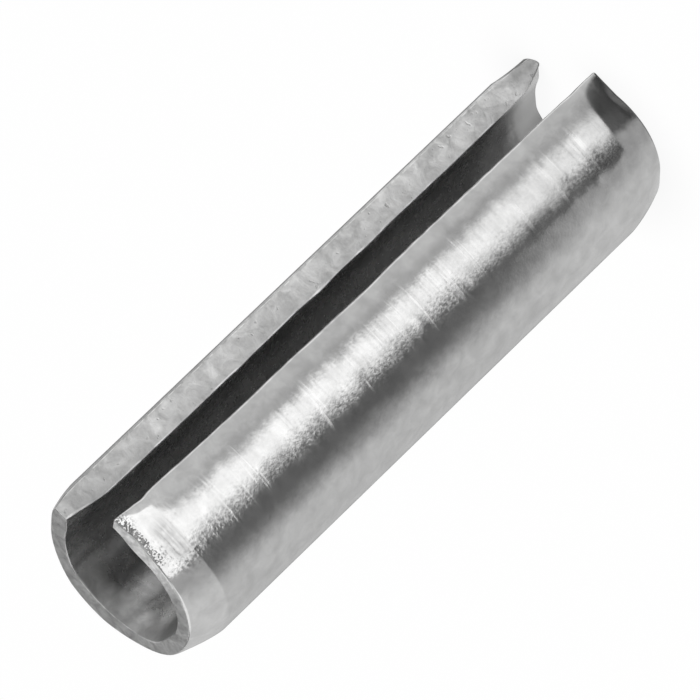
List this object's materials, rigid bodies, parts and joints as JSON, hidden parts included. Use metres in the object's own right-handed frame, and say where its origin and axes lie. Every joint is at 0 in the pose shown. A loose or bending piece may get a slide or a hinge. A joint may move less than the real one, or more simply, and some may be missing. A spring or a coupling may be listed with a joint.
{
  "type": "spring pin",
  "caption": "Slotted spring pin: spring-steel strip rolled into an open tube, with a slot from end to end and a bowed chamfer at each end.",
  "frame": {"origin": "on the pin's axis, at the end face that the pin stands on", "axes": "+Z along the pin's axis, from the end it stands on to the upper end; the slot's middle faces halfway between +X and -Y"},
  "size_m": [0.0086, 0.0086, 0.03],
  "materials": {
    "spring_steel": "bright drawn spring steel with a satin sheen, fine rolling scratches round the outside and dull grainy sheared slot faces"
  },
  "bodies": {
    "root": {"spring_pin": "spring_steel"}
  },
  "joints": []
}
